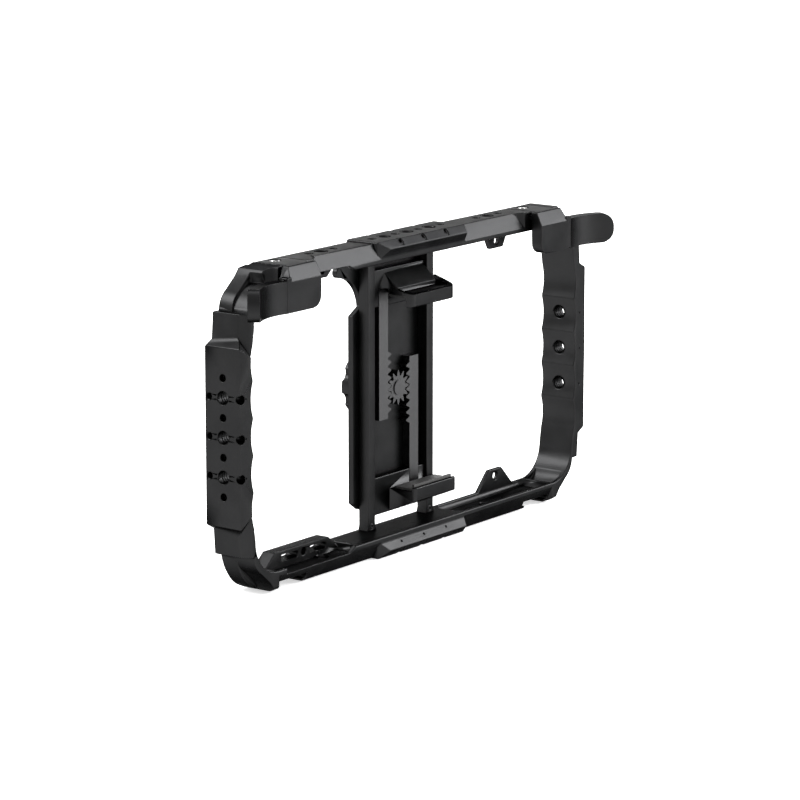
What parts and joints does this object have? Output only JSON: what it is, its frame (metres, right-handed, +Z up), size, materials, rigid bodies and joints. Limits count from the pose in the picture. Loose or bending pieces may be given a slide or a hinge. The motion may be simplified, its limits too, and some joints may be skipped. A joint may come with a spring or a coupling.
{
  "type": "phone cage",
  "caption": "Machined metal ring that carries a phone: finger grips at both ends, threads and accessory rails, thumb rests and a self-centring clamp worked by a rear knob.",
  "frame": {"origin": "mouth of the middle thread in the bottom rail, on the cage's middle plane", "axes": "+Z up, -Y towards the user at the front, +X to the user's right, along the rails"},
  "size_m": [0.2422, 0.0429, 0.1248],
  "materials": {
    "anodised_frame": "bead-blasted, black anodised",
    "anodised_rest": "smooth, black anodised",
    "steel": "turned steel",
    "black_plastic": "moulded, fine matt texture",
    "rubber": "soft matt rubber",
    "brass": "machined brass",
    "nylon": "plain nylon"
  },
  "bodies": {
    "cage": {"cage_frame": "anodised_frame", "guide_post_left": "anodised_frame", "guide_post_right": "anodised_frame", "post_screws": "steel", "clamp_plate": "anodised_frame", "plate_screws": "steel", "shaft_bush": "brass", "friction_washer": "nylon"},
    "knob": {"clamp_knob": "anodised_rest", "knob_shaft": "steel", "pinion": "brass", "knob_screw": "steel"},
    "upper_clamp": {"upper_jaw": "black_plastic", "upper_rack": "steel", "upper_jaw_pad": "rubber"},
    "lower_clamp": {"lower_jaw": "black_plastic", "lower_rack": "steel", "lower_jaw_pad": "rubber"},
    "left_rest": {"thumb_rest_left": "anodised_rest", "thumb_rest_screw_left": "steel"},
    "right_rest": {"thumb_rest_right": "anodised_rest", "thumb_rest_screw_right": "steel"}
  },
  "joints": [
    {"name": "knob_turn", "type": "hinge", "parent": "cage", "child": "knob", "pos_m": [0, 0.01, 0.0624], "axis": [0, 1, 0], "range_deg": [-93, 30]},
    {"name": "upper_jaw_slide", "type": "slide", "parent": "cage", "child": "upper_clamp", "axis": [0, 0, 1], "range_m": [-0.0097, 0.0031]},
    {"name": "lower_jaw_slide", "type": "slide", "parent": "cage", "child": "lower_clamp", "axis": [0, 0, -1], "range_m": [-0.0098, 0.0032]},
    {"name": "left_rest_slide", "type": "slide", "parent": "cage", "child": "left_rest", "axis": [0, -1, 0], "range_m": [-0.001, 0.006]},
    {"name": "right_rest_slide", "type": "slide", "parent": "cage", "child": "right_rest", "axis": [0, -1, 0], "range_m": [-0.001, 0.006]}
  ],
  "couplings": [
    {"joint": "knob_turn", "follows": "upper_jaw_slide", "rad_per_m": 166.67},
    {"joint": "lower_jaw_slide", "follows": "upper_jaw_slide", "ratio": 1}
  ]
}
